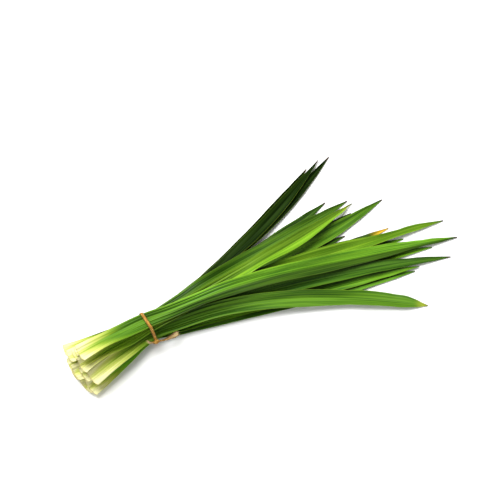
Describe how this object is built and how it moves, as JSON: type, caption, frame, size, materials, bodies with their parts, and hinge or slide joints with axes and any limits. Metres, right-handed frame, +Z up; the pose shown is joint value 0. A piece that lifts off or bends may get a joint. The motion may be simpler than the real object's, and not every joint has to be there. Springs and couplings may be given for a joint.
{
  "type": "pandan leaf bunch",
  "caption": "Bunch of fresh pandan leaves lying down: long green blades that fan out to points from pale, thick cut ends, tied near those ends with a knotted strip of dry leaf.",
  "frame": {"origin": "middle of the bunch's outer box, on the surface that the bunch lies on", "axes": "+X along the bunch from the cut ends to the leaf tips, +Z up from the surface"},
  "size_m": [0.502, 0.2398, 0.0504],
  "materials": {
    "leaf_dark": "satin",
    "leaf_mid": "satin",
    "leaf_bright": "satin",
    "dry_strip": "matte"
  },
  "bodies": {
    "root": {"leaf_01": "leaf_dark", "leaf_02": "leaf_mid", "leaf_03": "leaf_dark", "leaf_04": "leaf_dark", "leaf_05": "leaf_dark", "leaf_06": "leaf_dark", "leaf_07": "leaf_dark", "leaf_08": "leaf_dark", "leaf_09": "leaf_mid", "leaf_10": "leaf_mid", "leaf_11": "leaf_mid", "leaf_12": "leaf_dark", "leaf_13": "leaf_mid", "leaf_14": "leaf_mid", "leaf_15": "leaf_mid", "leaf_16": "leaf_bright", "leaf_17": "leaf_bright", "leaf_18": "leaf_mid", "strip": "dry_strip"}
  },
  "joints": []
}
